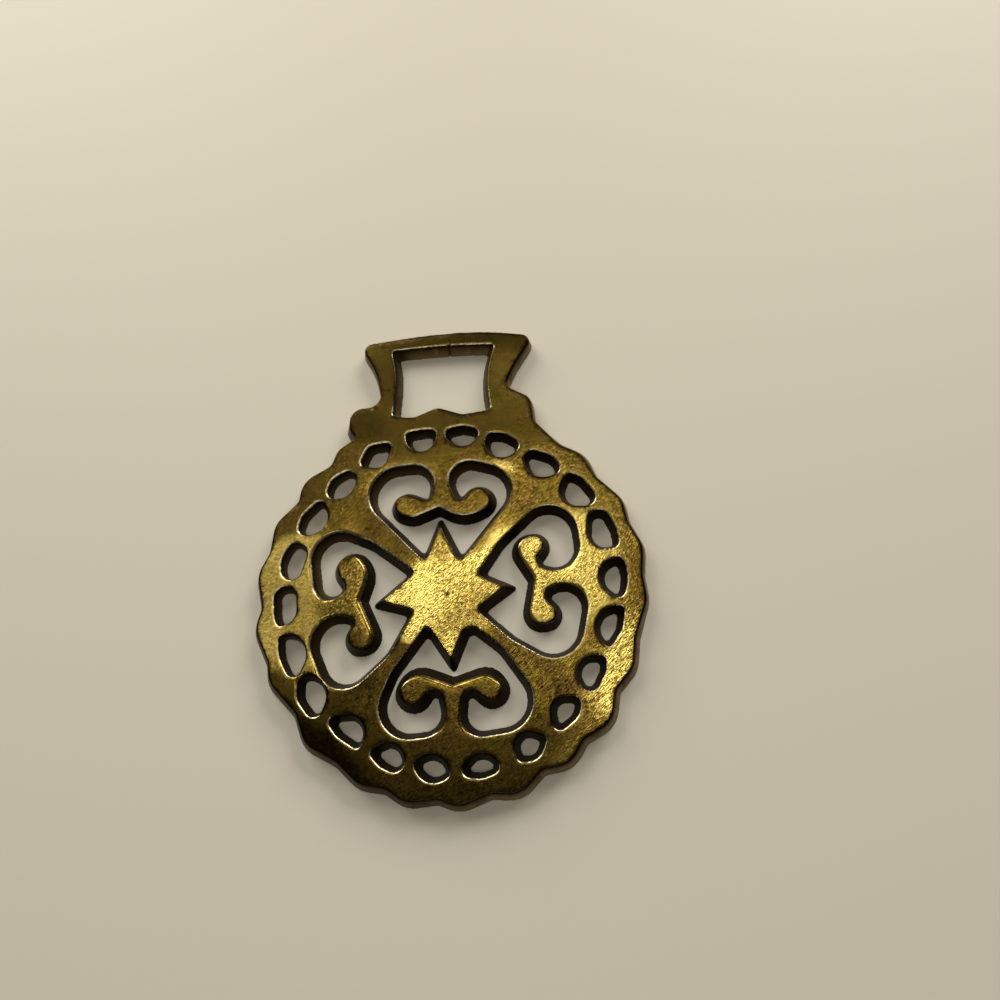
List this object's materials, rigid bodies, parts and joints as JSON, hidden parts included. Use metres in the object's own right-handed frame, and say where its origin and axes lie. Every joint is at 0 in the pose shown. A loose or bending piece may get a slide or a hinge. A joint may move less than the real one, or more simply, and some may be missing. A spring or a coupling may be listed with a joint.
{
  "type": "horse brass",
  "caption": "Round pierced brass casting with a wavy rim, a ring of drop-shaped holes, heart-shaped openings round a star, and a strap loop on top.",
  "frame": {"origin": "centre of the star, on the flat back that the plate lies on", "axes": "+Y from the star to the strap loop, along the longest extent; +Z out of the front face, along the shortest extent; +X to the right seen from the front"},
  "size_m": [0.0775, 0.0978, 0.003],
  "materials": {
    "aged_brass": "cast brass polished by wear on its face, with dark patina in the openings"
  },
  "bodies": {
    "root": {"horse_brass": "aged_brass"}
  },
  "joints": []
}
